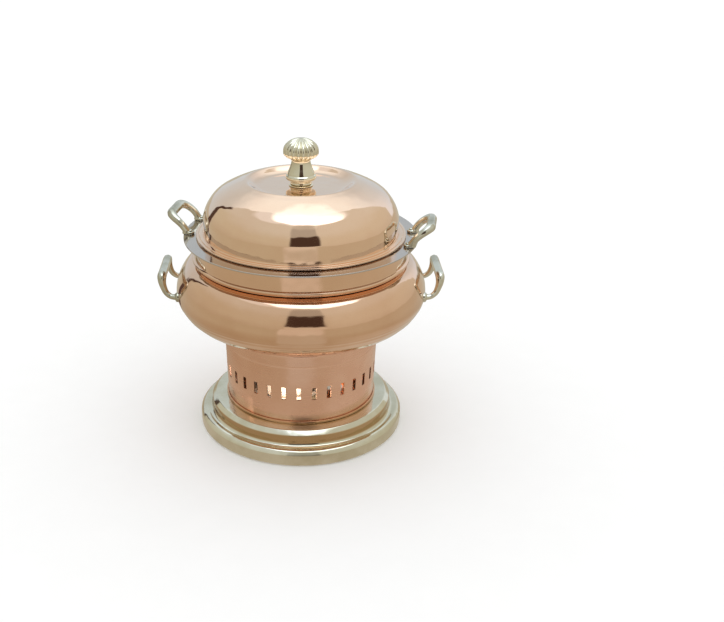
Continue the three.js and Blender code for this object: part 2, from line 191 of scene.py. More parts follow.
def lathe(name, outline, segments=ROUND, radius_at=None):
    """Turns a closed outline, or one that starts and ends on the axis, about Z."""
    looped = outline[0][0] > 1e-6
    angles = np.linspace(0, 2 * math.pi, segments, endpoint=False)
    verts, rings = [], []
    for r, z in outline:
        if r <= 1e-6:
            rings.append([len(verts)] * segments)
            verts.append((0, 0, z * MM))
            continue
        rings.append(list(range(len(verts), len(verts) + segments)))
        for a in angles:
            q = r if radius_at is None else radius_at(r, z, a)
            verts.append((q * math.cos(a) * MM, q * math.sin(a) * MM, z * MM))
    pairs = list(zip(rings, rings[1:]))
    if looped:
        pairs.append((rings[-1], rings[0]))
    faces = []
    for low, high in pairs:
        for i in range(segments):
            j = (i + 1) % segments
            face = [low[i], low[j], high[j], high[i]]
            face = [v for k, v in enumerate(face) if v != face[k - 1]]
            if len(face) > 2:
                faces.append(face)
    return new_object(name, verts, faces)


def corners(node):
    """A node's lowest and highest corner in mm."""
    low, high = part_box(node)
    return np.array(low) / MM, np.array(high) / MM


def fitted(outline, node):
    """The outline stretched to the radius and heights of a turned node about the main axis."""
    low, high = corners(node)
    radius = (high[0] - low[0]) / 2
    z = [q[1] for q in outline]
    widest = max(q[0] for q in outline)
    scale = (high[2] - low[2]) / (max(z) - min(z))
    return [(r * radius / widest, low[2] + (h - min(z)) * scale) for r, h in outline]


def sweep(points, sides=40, flats=8, flatness=0.75, turn=0.0):
    """Vertices and faces of a bar along (x, y, z, radius) points, with a softly faceted section."""
    p = np.array(points)
    path, radii = p[:, :3], p[:, 3]
    tangents = np.gradient(path, axis=0)
    tangents /= np.linalg.norm(tangents, axis=1)[:, None]
    side = np.cross(tangents[0], (0, 0, 1.0))
    side /= np.linalg.norm(side)
    step = 2 * math.pi / flats
    around = np.linspace(0, 2 * math.pi, sides, endpoint=False)
    flat = np.array([math.cos(step / 2) / math.cos((a + turn) % step - step / 2) for a in around])
    shape = 1 + flatness * (flat / flat.mean() - 1)
    verts, faces = [], []
    for centre, tangent, radius in zip(path, tangents, radii):
        side = side - tangent * (side @ tangent)
        side /= np.linalg.norm(side)
        up = np.cross(side, tangent)
        for a, s in zip(around, shape):
            verts.append((centre + radius * s * (math.cos(a) * side + math.sin(a) * up)) * MM)
    count = len(path)
    for k in range(count - 1):
        for i in range(sides):
            j = (i + 1) % sides
            faces.append([k * sides + i, k * sides + j, (k + 1) * sides + j, (k + 1) * sides + i])
    faces.append(list(range(sides))[::-1])
    faces.append([(count - 1) * sides + i for i in range(sides)])
    return verts, faces


def merged(parts):
    verts, faces = [], []
    for part_verts, part_faces in parts:
        faces += [[i + len(verts) for i in face] for face in part_faces]
        verts += list(part_verts)
    return verts, faces


def disc_part(outline, matrix):
    """Vertices and faces of a small turned part moved by a matrix (mm)."""
    temporary = lathe("temporary", outline, SMALL)
    verts = [(matrix @ (v.co / MM)) * MM for v in temporary.data.vertices]
    faces = [list(f.vertices) for f in temporary.data.polygons]
    bpy.data.objects.remove(temporary, do_unlink=True)
    return verts, faces


def evaluated_copy(source, name):
    """A plain mesh object of what a curve or a modified object shows; the source is removed."""
    graph = bpy.context.evaluated_depsgraph_get()
    mesh = bpy.data.meshes.new_from_object(source.evaluated_get(graph))
    bpy.data.objects.remove(source, do_unlink=True)
    mesh.name = name
    piece = bpy.data.objects.new(name, mesh)
    bpy.context.scene.collection.objects.link(piece)
    return piece


def cast(name, parts, voxel, smoothing):
    """Overlapping closed parts fused into one skin with soft corners, as a casting has."""
    rough = new_object(name, *merged(parts))
    remesh = rough.modifiers.new("skin", "REMESH")
    remesh.mode = "VOXEL"
    remesh.voxel_size = voxel * MM
    soft = rough.modifiers.new("soft", "SMOOTH")
    soft.factor = 0.5
    soft.iterations = smoothing
    piece = evaluated_copy(rough, name)
    piece.data.polygons.foreach_set("use_smooth", [True] * len(piece.data.polygons))
    return piece


def moved(piece, matrix):
    piece.data.transform(matrix)
    return piece


# ---- materials ----------------------------------------------------------------------------------
# noise scales, per metre
PATCH_SCALE = 9.0  # wide blotches
CLOUD_SCALE = 26.0  # soft blotches
DENT_SCALE = 55.0  # slight unevenness
SPECK_SCALE = 900.0  # worn specks
LINE_SCALE = 2600.0  # spinning lines
BAND_SCALE = LINE_SCALE / 14  # wider spinning bands
SPIN_WANDER = 0.04  # how far a spinning line wanders round the axis


class Nodes:
    """A short way to write a node tree."""

    def __init__(self, tree):
        self.tree = tree

    def add(self, kind, inputs=None, **settings):
        node = self.tree.nodes.new(kind)
        for key, value in settings.items():
            setattr(node, key, value)
        for key, value in (inputs or {}).items():
            if isinstance(value, bpy.types.NodeSocket):
                self.tree.links.new(value, node.inputs[key])
            else:
                node.inputs[key].default_value = value
        return node

    def math(self, operation, *values):
        return self.add("ShaderNodeMath", dict(enumerate(values)), operation=operation).outputs[0]

    def noise(self, vector, scale, detail=3.0, roughness=0.55):
        inputs = {"Vector": vector, "Scale": scale, "Detail": detail, "Roughness": roughness}
        return self.add("ShaderNodeTexNoise", inputs).outputs["Fac"]

    def span(self, value, low, high, to_low=0.0, to_high=1.0):
        """A soft step from to_low, where value is low, to to_high, where it is high."""
        inputs = {"Value": value, "From Min": low, "From Max": high,
                  "To Min": to_low, "To Max": to_high}
        return self.add("ShaderNodeMapRange", inputs, interpolation_type="SMOOTHSTEP").outputs["Result"]

    def mix(self, factor, a, b):
        """Colour a where the factor is 0 and colour b where it is 1."""
        node = self.add("ShaderNodeMix", data_type="RGBA")
        for index, value in ((0, factor), (6, a), (7, b)):
            if isinstance(value, bpy.types.NodeSocket):
                self.tree.links.new(value, node.inputs[index])
            elif index == 0:
                node.inputs[0].default_value = value
            else:
                node.inputs[index].default_value = (*value, 1)
        return node.outputs[2]


def distance_from_axis(n, x, y):
    return n.math("SQRT", n.math("ADD", n.math("MULTIPLY", x, x), n.math("MULTIPLY", y, y)))


def spun_coordinates(n):
    """Object coordinates, and ones that hardly change round the Z axis, for spinning lines."""
    place = n.add("ShaderNodeTexCoord").outputs["Object"]
    x, y, z = n.add("ShaderNodeSeparateXYZ", {0: place}).outputs
    wander = n.math("MULTIPLY", x, SPIN_WANDER)
    inputs = {0: distance_from_axis(n, x, y), 1: wander, 2: z}
    return place, n.add("ShaderNodeCombineXYZ", inputs).outputs[0]


def in_groove(n, ringed, inner, outer, low, high):
    """1 on a turned piece between two radii and two heights in mm, with soft limits."""
    r, _, z = n.add("ShaderNodeSeparateXYZ", {0: ringed}).outputs
    edge = 1.5

    def window(value, start, end):
        rise = n.span(value, start * MM, (start + edge) * MM)
        return n.math("MULTIPLY", rise, n.span(value, end * MM, (end - edge) * MM))

    return n.math("MULTIPLY", window(r, inner, outer), window(z, low, high))


def blend(n, a, b, share):
    """share of a and the rest of b."""
    return n.math("ADD", n.math("MULTIPLY", a, share), n.math("MULTIPLY", b, 1 - share))


def metal(name, colour, tint, roughness, spin=0.0, hammer=0.0, blotch=0.5, spread=0.06, lacquer=0.0,
          painted_reflection=None):
    """Polished sheet or cast metal: two tones in soft blotches, smudged polish, spinning lines,
    fine scratches and slight unevenness. colour and tint are the two tones; the last argument
    gives the inner and outer radius, the two heights and the colour of a band of painted
    reflection, where the copper seen in the base's step is painted into the colour."""
    material = bpy.data.materials.new(name)
    material.use_nodes = True
    tree = material.node_tree
    n = Nodes(tree)
    shader = tree.nodes["Principled BSDF"]
    place, ringed = spun_coordinates(n)
    cloud = n.noise(place, CLOUD_SCALE, 4.0)
    patch = n.noise(place, PATCH_SCALE, 2.0)
    lines = n.noise(ringed, LINE_SCALE, 2.0)
    bands = n.noise(ringed, BAND_SCALE, 3.0)
    speck = n.noise(place, SPECK_SCALE, 2.0)
    dents = n.noise(place, DENT_SCALE, 1.0)

    tone = n.span(blend(n, cloud, patch, 0.6), 0.38, 0.62)
    base = n.mix(n.math("MULTIPLY", tone, blotch), colour, tint)
    # a band of painted reflection: the copper seen reflected in the base's step, painted in as
    # orange-brown colour
    if painted_reflection:
        base = n.mix(in_groove(n, ringed, *painted_reflection[:4]), base, painted_reflection[4])
    tree.links.new(base, shader.inputs["Base Color"])

    wiped = n.span(blend(n, bands, cloud, 0.5), 0.35, 0.65)
    polish = n.math("ADD", n.math("MULTIPLY", wiped, spread), roughness - spread / 2)
    worn = n.math("MULTIPLY", n.span(speck, 0.62, 0.75), spread * 0.6)
    tree.links.new(n.math("ADD", polish, worn), shader.inputs["Roughness"])

    height = n.math("ADD", n.math("MULTIPLY", lines, 0.35 * spin), n.math("MULTIPLY", bands, spin))
    height = n.math("ADD", height, n.math("MULTIPLY", dents, hammer))
    bump = n.add("ShaderNodeBump", {"Height": height, "Strength": 1.0, "Distance": MM})
    tree.links.new(bump.outputs[0], shader.inputs["Normal"])
    tree.links.new(bump.outputs[0], shader.inputs["Coat Normal"])
    shader.inputs["Metallic"].default_value = 1.0
    shader.inputs["Coat Weight"].default_value = lacquer
    shader.inputs["Coat Roughness"].default_value = 0.05
    return material


def felt(name, colour):
    """Stained fibre felt."""
    material = bpy.data.materials.new(name)
    material.use_nodes = True
    tree = material.node_tree
    n = Nodes(tree)
    shader = tree.nodes["Principled BSDF"]
    place = n.add("ShaderNodeTexCoord").outputs["Object"]
    fibre = n.noise(place, 1400.0, 5.0, 0.7)
    stain = n.noise(place, 60.0, 3.0)
    base = n.mix(n.span(stain, 0.35, 0.7), colour, [c * 0.62 for c in colour])
    tree.links.new(base, shader.inputs["Base Color"])
    shader.inputs["Roughness"].default_value = 0.95
    shader.inputs["Sheen Weight"].default_value = 0.3
    bump = n.add("ShaderNodeBump", {"Height": fibre, "Strength": 0.8, "Distance": 0.0006})
    tree.links.new(bump.outputs[0], shader.inputs["Normal"])
    return material


MATERIALS = {
    "copper_lid": metal("copper_lid", (0.92, 0.64, 0.44), (0.87, 0.56, 0.37), 0.06, spin=0.010,
                        hammer=0.4, blotch=0.5, lacquer=1.0),
    "copper_bowl": metal("copper_bowl", (0.84, 0.54, 0.35), (0.77, 0.46, 0.28), 0.07, spin=0.020,
                         hammer=0.4, blotch=0.5, lacquer=1.0),
    "copper_drum": metal("copper_drum", (0.94, 0.61, 0.46), (0.89, 0.54, 0.39), 0.26, spin=0.012,
                         hammer=0.5, blotch=0.8, spread=0.12),
    # the orange-brown band in the brass base's step is a painted reflection of the copper
    "brass_spun": metal("brass_spun", (0.79, 0.74, 0.60), (0.60, 0.54, 0.38), 0.10, spin=0.016,
                        hammer=0.6, blotch=0.75, painted_reflection=(102.0, 105.6, 19.6, 31.2, (0.54, 0.36, 0.19))),
    "brass_cast": metal("brass_cast", (0.75, 0.73, 0.62), (0.40, 0.37, 0.26), 0.12, hammer=1.0,
                        blotch=0.9, spread=0.10),
    "brass_knob": metal("brass_knob", (0.82, 0.77, 0.61), (0.66, 0.59, 0.42), 0.08, hammer=0.3,
                        blotch=0.6),
    "steel_pan": metal("steel_pan", (0.64, 0.575, 0.53), (0.55, 0.495, 0.455), 0.14, spin=0.01,
                       hammer=0.3, blotch=0.5),
    "steel": metal("steel", (0.90, 0.83, 0.74), (0.80, 0.72, 0.62), 0.72, spin=0.02, hammer=0.1,
                   blotch=0.7, spread=0.14),
    "copper_bead": metal("copper_bead", (0.80, 0.48, 0.30), (0.62, 0.36, 0.20), 0.10, spin=0.012,
                         hammer=0.4, blotch=0.8),
    "wick_felt": felt("wick_felt", (0.78, 0.75, 0.68)),
}
SLOTS = {row["node"]: row["material_slot"] for row in frame["record"]["subparts"]}
BODIES = {}
for body, nodes in frame["record"]["behaviour"]["bodies"].items():
    BODIES.update(dict.fromkeys(nodes, body))


def finish(piece, node, look=None):
    """Gives a piece its node's material (or another look) and body, and hides the node."""
    piece.data.materials.clear()
    piece.data.materials.append(MATERIALS[look or SLOTS[node]])
    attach(piece, BODIES[node])
    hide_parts(node)
    return piece


# ---- stand --------------------------------------------------------------------------------------
DECK_Z = 35  # top of the base
DRUM_FOOT_R = 84.5
DRUM_WALL = 1.4
DRUM_LIP_R = 79  # inner edge of the drum's turned-in top
DRUM_STEPS = 25  # outline points up the drum's side
SLOT_COUNT = 32
SLOT_WIDTH = 4.8
SLOT_LOW, SLOT_HIGH = 64.4, 79.0
SLOT_TURN = math.radians(-90 - 1.6)  # the slot nearest the front
SEAM_Z = 104.0  # a fine groove round the drum
COLUMNS = 6  # grid lines of one slot's sector: its two edges and four between slots


def base_plate():
    outline = [
        *rounded([(110.6, 0), (115, 0, 0.6), (117.2, 2.2, 1.6), (117.2, 13.4, 1.0),
                  (116.0, 15.2, 0.6)]),
        *arc(110.6, 12.6, 5.8, 36, 90, 8),
        *arc(108.4, 22.4, 4.8, -90, -176, 10),
        *rounded([(103.6, 24), (103.6, 29.8, 1.2), (98.6, 34.8, 3.0), (94, DECK_Z)], 8),
        *[(r, DECK_Z) for r in (88, 80, 60, 40, 20, 8, 0)],
    ]
    return lathe("base_spun", fitted(shell(outline, 1.6), "base_plate"))


def drum_foot_ring():
    low, high = corners("drum_foot_ring")
    inner, outer = DRUM_FOOT_R + 0.5, high[0]
    bead = rounded([(inner, low[2]), (outer, low[2], 0.8), (outer, high[2], 1.0),
                    (inner, high[2], 0.2), (inner, low[2])], 5)
    return lathe("drum_foot_bead", bead[:-1])


def drum_outlines():
    """The drum's outer and inner outline, bottom to top, with points at the slots' two heights."""
    low, high = corners("vent_drum")
    top = high[0]
    straight = high[2] - 2 - low[2]

    def radius(z):
        groove = 0.25 if abs(z - SEAM_Z) < 0.5 else 0
        return DRUM_FOOT_R + (top - DRUM_FOOT_R) * (z - low[2]) / straight - groove

    def clear_of_slots(z):
        return z in (SLOT_LOW, SLOT_HIGH) or min(abs(z - SLOT_LOW), abs(z - SLOT_HIGH)) > 0.6

    heights = [low[2] + straight * t for t in np.linspace(0, 1, DRUM_STEPS)]
    heights += [SLOT_LOW, SLOT_HIGH, *(SEAM_Z + step for step in (-0.8, -0.3, 0.3, 0.8))]
    outer = [(radius(z), z) for z in sorted(filter(clear_of_slots, heights))]
    turn_in = [outer[-1], (top - 0.2, high[2] - 0.4, 1.2), (top - 2.4, high[2], 1.2),
               (DRUM_LIP_R, high[2])]
    outer += rounded(turn_in, 4)[1:]
    inner = [(r - DRUM_WALL, z) for r, z in outer if z <= high[2] - 2.6]
    under = high[2] - DRUM_WALL
    inner += [(top - DRUM_WALL - 0.6, under - 0.5), (top - DRUM_WALL - 1.6, under), (DRUM_LIP_R, under)]
    return outer, inner


def drum_angles():
    """Directions of the grid lines; every sector starts with its slot's two edges."""
    half = math.asin(SLOT_WIDTH / 2 / corners("vent_drum")[1][0])
    sector = 2 * math.pi / SLOT_COUNT
    angles = []
    for k in range(SLOT_COUNT):
        middle = SLOT_TURN + k * sector
        angles += [middle - half, middle + half]
        angles += [middle + half + (sector - 2 * half) * t for t in (0.2, 0.4, 0.6, 0.8)]
    return angles


def slot_edges(outer, inner, count):
    """Faces through the sheet round every slot; outer and inner are (first vertex, height) rings."""
    start_outside = {round(z, 4): start for start, z in outer}
    start_inside = {round(z, 4): start for start, z in inner}
    levels = [round(z, 4) for _, z in inner if SLOT_LOW - 0.01 <= z <= SLOT_HIGH + 0.01]
    faces = []
    for i in range(0, count, COLUMNS):
        j = i + 1
        for z0, z1 in zip(levels, levels[1:]):
            o0, o1 = start_outside[z0], start_outside[z1]
            n0, n1 = start_inside[z0], start_inside[z1]
            faces.append([o0 + i, o1 + i, n1 + i, n0 + i])
            faces.append([o0 + j, n0 + j, n1 + j, o1 + j])
        o0, n0 = start_outside[levels[0]], start_inside[levels[0]]
        o1, n1 = start_outside[levels[-1]], start_inside[levels[-1]]
        faces.append([o0 + i, n0 + i, n0 + j, o0 + j])
        faces.append([o1 + i, o1 + j, n1 + j, n1 + i])
    return faces


def vent_drum():
    """A sheet drum with real slots: the grid's lines run along the slots' edges."""
    angles = drum_angles()
    count = len(angles)
    verts, faces = [], []

    def ring(r, z):
        verts.extend((r * math.cos(a) * MM, r * math.sin(a) * MM, z * MM) for a in angles)
        return len(verts) - count

    def wall_faces(rings, flip):
        for (a, z0), (b, z1) in zip(rings, rings[1:]):
            beside_slots = z0 >= SLOT_LOW - 0.01 and z1 <= SLOT_HIGH + 0.01
            for i in range(count):
                if beside_slots and i % COLUMNS == 0:
                    continue
                j = (i + 1) % count
                face = [a + i, a + j, b + j, b + i]
                faces.append(face[::-1] if flip else face)

    outer, inner = [[(ring(r, z), z) for r, z in outline] for outline in drum_outlines()]
    wall_faces(outer, False)
    wall_faces(inner, True)
    for a, b in ((inner[0][0], outer[0][0]), (outer[-1][0], inner[-1][0])):
        faces.extend([a + i, a + (i + 1) % count, b + (i + 1) % count, b + i] for i in range(count))

    faces += slot_edges(outer, inner, count)
    drum = new_object("drum_slotted", verts, faces)
    drum.data.set_sharp_from_angle(angle=math.radians(40))
    return drum


# ---- burner -------------------------------------------------------------------------------------
def middle_x(node):
    low, high = corners(node)
    return (low[0] + high[0]) / 2


def shifted(piece, node):
    """A piece turned about the main axis, moved sideways to a node's middle."""
    return moved(piece, Matrix.Translation((middle_x(node) * MM, 0, 0)))


def burner_tray():
    low, high = corners("burner_tray")
    radius, floor = (high[0] - low[0]) / 2, low[2]
    outline = rounded([(0, floor), (radius - 0.6, floor, 2.4), (radius, high[2])], 6)
    return shifted(lathe("burner_dish", shell(outline, 1.0), MEDIUM), "fuel_cup")


def fuel_cup():
    """A drawn cup with a shallow bead round its foot."""
    low, high = corners("fuel_cup")
    radius, floor = (high[0] - low[0]) / 2, low[2]
    neck = radius - 0.5
    outline = rounded([(0, floor), (radius, floor, 2.6), (neck, floor + 5, 1), (neck, floor + 6, 1),
                       (radius, floor + 7, 1), (radius, high[2])], 6)
    return shifted(lathe("fuel_cup_drawn", shell(outline, 1.1), MEDIUM), "fuel_cup")


def fuel_wick():
    """A pad whose top sinks a little towards the middle."""
    low, high = corners("fuel_wick")
    radius, sink = (high[0] - low[0]) / 2, 0.5
    top = [(radius * t, high[2] - sink * (1 - t)) for t in (0.9, 0.7, 0.5, 0.3, 0.15)]
    side = rounded([(0, low[2]), (radius, low[2], 1.2), (radius, high[2], 1.6),
                    (radius * 0.94, high[2])], 5)
    return shifted(lathe("wick_pad", [*side, *top, (0, high[2] - sink)], MEDIUM), "fuel_cup")


def cup_cover():
    low, high = corners("cup_cover")
    outer, top = (high[0] - low[0]) / 2, high[2]
    skirt, mouth, under = outer - 1.2, 19.0, top - 1.3
    middle = (mouth, top - 0.65)
    outline = rounded([middle, (mouth, under, 0.4), (skirt, under, 0.3), (skirt, low[2], 0.2),
                       (outer, low[2], 0.4), (outer, top, 1.0), (mouth, top, 0.5), middle], 4)
    return shifted(lathe("burner_cover", outline[:-1], MEDIUM), "fuel_cup")


def snuffer_pin():
    low, high = corners("snuffer_pin")
    head, shank, foot, collar = 3.2, 1.7, low[2] + 1.2, high[2] - 1.4
    outline = rounded([(0, low[2]), (head, low[2], 0.5), (head, foot, 0.2), (shank, foot),
                       (shank, collar), (head, collar, 0.2), (head, high[2], 0.9), (0, high[2])], 4)
    return shifted(lathe("snuffer_pivot", outline, SMALL), "snuffer_pin")


def circle(x, radius, angles):
    """Points of a circle in the horizontal plane, about a centre on the X axis."""
    return [(x + radius * math.cos(a), radius * math.sin(a)) for a in angles]


def filled_plate(name, loops, thickness, edge, height):
    """A flat plate with rounded edges; the first loop is its rim and the others are holes."""
    curve = bpy.data.curves.new("temporary", "CURVE")
    curve.dimensions = "2D"
    curve.fill_mode = "BOTH"
    curve.extrude = (thickness / 2 - edge) * MM
    curve.bevel_depth = edge * MM
    curve.bevel_resolution = 2
    curve.offset = -edge * MM
    for points in loops:
        spline = curve.splines.new("POLY")
        spline.points.add(len(points) - 1)
        for target, (x, y) in zip(spline.points, points):
            target.co = (x * MM, y * MM, 0, 1)
        spline.use_cyclic_u = True
    flat = bpy.data.objects.new("temporary", curve)
    bpy.context.scene.collection.objects.link(flat)
    piece = evaluated_copy(flat, name)
    return moved(piece, Matrix.Translation((0, 0, height * MM)))


def snuffer_disc():
    """A thin disc with an ear for the pin and a tail for the knob, pressed from one sheet."""
    low, high = corners("snuffer_disc")
    middle, pin, knob = middle_x("fuel_cup"), middle_x("snuffer_pin"), middle_x("snuffer_knob")
    radius = middle - low[0]
    ear, tail, pin_hole, knob_hole = 5.4, 4.0, 1.95, 1.8
    start = math.asin(tail / radius)
    rim = circle(middle, radius, np.linspace(start, 2 * math.pi - start, 90))
    ear_low = circle(pin, ear, np.linspace(-2.3, -0.84, 10))
    end = circle(high[0] - tail, tail, np.linspace(-1.57, 1.57, 14))
    ear_high = [(x, -y) for x, y in ear_low[::-1]]
    backwards = np.linspace(2 * math.pi, 0, 24, endpoint=False)
    holes = [circle(pin, pin_hole, backwards), circle(knob, knob_hole, backwards)]
    loops = [[*rim, *ear_low, *end, *ear_high], *holes]
    return filled_plate("snuffer_plate", loops, high[2] - low[2], 0.25, (low[2] + high[2]) / 2)


def snuffer_knob():
    low, high = corners("snuffer_knob")
    shank, foot = 1.5, high[2] - 5.6
    outline = rounded([(0, low[2]), (shank, low[2], 0.2), (shank, foot, 0.2), (2.6, foot, 0.3),
                       (2.4, foot + 1.2, 0.6), (3.6, foot + 3, 1.4), (2.9, foot + 5.2, 1.2),
                       (0, high[2])], 5)
    return shifted(lathe("snuffer_grip", outline, SMALL), "snuffer_knob")


# ---- water bowl ---------------------------------------------------------------------------------
BOWL_FLOOR_Z = 113
BOWL_SKIN = smooth([
    (78.0, 118.7), (84, 119.2), (92, 121.6), (104, 127), (117, 133), (130, 143), (137, 153.6),
    (139, 159.4), (139.4, 164), (139.1, 169), (138.4, 173.4), (136.9, 178.6), (134.9, 183.2),
    (132.6, 187.6), (130.2, 191.2), (127.6, 194.1), (124.6, 196.3), (121.2, 197.7), (118.2, 198.5),
], 8)
SPUN_LOW, SPUN_HIGH = 122, 158  # heights between which the spinning ripples show


def bowl_shell():
    outline = [
        *[(r, BOWL_FLOOR_Z) for r in (0, 20, 40, 60)],
        *rounded([(68, BOWL_FLOOR_Z), (73.4, BOWL_FLOOR_Z, 2), BOWL_SKIN[0]], 5)[1:],
        *scratched(BOWL_SKIN, SPUN_LOW, SPUN_HIGH, depth=0.30, pitch=5.2)[1:],
        (116.2, 199.1), (114, 199.6),
    ]
    return lathe("bowl_spun", fitted(shell(outline, 1.5), "bowl_shell"))


def neck_collar():
    """A straight collar with a foot on the bowl's mouth, a bead and a thin rolled top."""
    radius = 118.2
    outline = [
        *rounded([(114.8, 200.1), (117.2, 199.6, 0.6), (radius, 200.2, 0.6), (radius, 201.2)], 3),
        *arc(118.6, 203.4, 2, -78, 62, 12),
        *rounded([(119.2, 205.5), (radius, 206.1, 0.5), (radius, 225.0, 0.6), (117.5, 225.4, 0.4),
                  (115.6, 225.4)], 4),
    ]
    return lathe("collar_spun", fitted(shell(outline, 1.4), "neck_collar"))


def foot_ring(node, name, width):
    """A plain ring of rectangular section with soft edges."""
    low, high = corners(node)
    outer = high[0]
    inner, start = outer - width, (outer - width, low[2] + 1)
    section = rounded([start, (inner, low[2], 0.6), (outer, low[2], 0.6), (outer, high[2], 0.3),
                       (inner, high[2], 0.3), start], 3)
    return lathe(name, section[:-1])


def mirrored(points):
    """A half handle's points and their mirror image in Y."""
    return [*points, *[(x, -y, z, r) for x, y, z, r in points[::-1]]]


GRIP_FACET_TURN = math.radians(22.5)  # a grip's flat side faces up
GRIP_VOXEL = 0.5
GRIP_SMOOTHING = 3
BOWL_FOOT = (139, 32, 163.6)  # a handle's foot: distance from the axis, sideways, height
BOWL_LEG = [
    (134.5, 32, 163.6, 3.3), (138.6, 31.6, 163.6, 3.1), (143.4, 30.6, 164.4, 3.0),
    (148.0, 29.8, 168.4, 3.2), (150.6, 29.4, 174.6, 3.6), (152.0, 29.0, 180.8, 4.3),
    (152.2, 27.4, 185.6, 4.9), (152.2, 23.8, 186.8, 4.95), (152.2, 12, 186.8, 4.9),
]


def grip(name, leg, feet):
    """A cast loop handle: half of it, from one foot to the middle, as (x, y, z, radius) points."""
    loop = sweep(smooth(mirrored(leg), 9), turn=GRIP_FACET_TURN)
    return cast(name, [loop, *feet], GRIP_VOXEL, GRIP_SMOOTHING)


def turned_to(side, degrees=0):
    """A right-hand piece's turn about Z to its own side, and a little more."""
    return Matrix.Rotation(math.radians(degrees + (180 if side == "left" else 0)), 4, "Z")


def bowl_handle(side):
    radius, across, height = BOWL_FOOT
    turn = math.asin(across / radius)
    outline = rounded([(0, -5), (5.4, -5), (5.4, 1.4, 0.8), (4.3, 2.6, 0.8), (0, 2.6)], 4)
    outwards = Matrix.Translation((radius, 0, height)) @ Matrix.Rotation(QUARTER, 4, "Y")
    feet = [disc_part(outline, Matrix.Rotation(s * turn, 4, "Z") @ outwards) for s in (1, -1)]
    return moved(grip(f"bowl_grip_{side}", BOWL_LEG, feet), turned_to(side))


def bowl_rivet(name, node):
    """A level rivet: its head inside the bowl and its shank through the wall."""
    low, high = corners(node)
    x, y, z = (low + high) / 2
    head, shank, start, end = 2.8, 1.5, 133.6, 140.2  # the last two are distances from the axis
    outline = rounded([(0, start), (1.6, start, 0.8), (head, start + 1, 0.8), (head, start + 1.6, 0.2),
                       (shank, start + 1.6), (shank, end, 0.3), (0, end)], 5)
    matrix = (Matrix.Translation((0, 0, z * MM)) @ Matrix.Rotation(math.atan2(y, x), 4, "Z")
              @ Matrix.Rotation(QUARTER, 4, "Y"))
    return moved(lathe(name, outline, SMALL), matrix)


# ---- food pan -----------------------------------------------------------------------------------
PAN_TURN = -10  # degrees that the pan sits turned in the bowl
PAN_FLOOR_Z = 140
FLANGE_TOP = 225.7
PAN_LEG = [
    (122.4, 24, 229.4, 4.0), (124.4, 24.4, 232.2, 3.9), (127.8, 24.6, 236.9, 3.9),
    (132.2, 24.2, 241.2, 4.1), (136.8, 22.6, 244.5, 4.4), (140.4, 18.8, 246.6, 4.9),
    (142.0, 14.0, 247.2, 5.2), (142.2, 7, 247.2, 5.2),
]


def pan_liner():
    outline = [
        *[(r, PAN_FLOOR_Z) for r in (0, 30, 60, 84)],
        *arc(94, PAN_FLOOR_Z + 16, 16, -90, 0, 14)[1:],
        *[(110.4 + 1.6 * t, 160 + 58 * t) for t in (0, 0.2, 0.4, 0.6, 0.8, 1)],
        *rounded([(112.1, 221.4), (112.6, FLANGE_TOP, 3.2), (117, FLANGE_TOP)], 8)[1:],
        *[(r, FLANGE_TOP) for r in (120, 124, 128.5, 129)],
    ]
    return lathe("pan_drawn", fitted(shell(outline, 1.4, 0.12), "pan_liner"))


def pan_handle(side):
    """The loop stands on two round feet, each running out into a lower one under the leg."""
    seat = corners("pan_handle_right")[0][2]
    pad = rounded([(0, 0), (4.8, 0, 0.3), (4.8, 2.2, 0.8), (4.2, 3, 0.6), (0, 3)], 4)
    toe = rounded([(0, 0), (4.1, 0, 0.3), (4.0, 2.2, 0.8), (3.2, 3.2, 0.8), (0, 3.4)], 4)
    feet = []
    for s in (1, -1):
        feet.append(disc_part(pad, Matrix.Translation((119.6, s * 23.6, seat))))
        feet.append(disc_part(toe, Matrix.Translation((124.2, s * 24.0, seat))))
    return moved(grip(f"pan_grip_{side}", PAN_LEG, feet), turned_to(side, PAN_TURN))


def pan_rivet(name, node):
    """An upright rivet: a flat head under the flange and a domed one on the handle's foot."""
    low, high = corners(node)
    x, y, _ = (low + high) / 2
    z0, z1 = low[2], high[2]
    head, shank = 2.8, 1.5
    outline = rounded([(0, z0), (head, z0, 0.5), (head, z0 + 1.2), (shank, z0 + 1.2),
                       (shank, z1 - 1.6), (head, z1 - 1.6, 0.3), (2.6, z1 - 0.6, 0.9),
                       (1.2, z1, 0.8), (0, z1)], 5)
    return moved(lathe(name, outline, SMALL), Matrix.Translation((x * MM, y * MM, 0)))


# ---- lid ----------------------------------------------------------------------------------------
LID_R = 107
DISH_Z = 282  # floor of the shallow dish on top
CAD_KNOB_FOOT, CAD_KNOB_HEIGHT = 284.0, 50.0  # of the knob that the outline is drawn for
FLUTES = 20
FLUTE_DEPTH = 2.3
FLUTED_FROM = 310.9


def lid_dome():
    outline = [
        *rounded([(113.8, 227.5), (115.2, 227.8, 0.4), (115.2, 229.4, 0.5), (112.6, 229.5, 0.3),
                  (112.3, 229.0, 0.2), (111.9, 229.0, 0.2), (111.6, 229.9, 0.4), (108.3, 230.1, 0.3),
                  (108.0, 229.7, 0.2), (107.6, 229.7, 0.2), (107.2, 230.6, 0.3), (LID_R, 234)], 4),
        *smooth([(LID_R, 236), (LID_R, 246.8), (106.9, 248.8), (106.4, 251), (105.1, 255), (103.4, 259),
                 (101.2, 263), (98.5, 267), (94.9, 271.4), (88.4, 276.4), (79.4, 281.2), (70.4, 285.2),
                 (64, 287.4)], 8),
        *smooth([(62.4, 288.0), (60.8, 288.4), (59, 288.4), (57.2, 287.8), (54.8, 286.2), (52, 284.2),
                 (48.6, 282.7), (45, 282.1), (41, DISH_Z)], 5),
        *[(r, DISH_Z) for r in (36, 30, 20, 10, 3.2)],
    ]
    return lathe("lid_spun", fitted(shell(outline, 1.4), "lid_dome"))


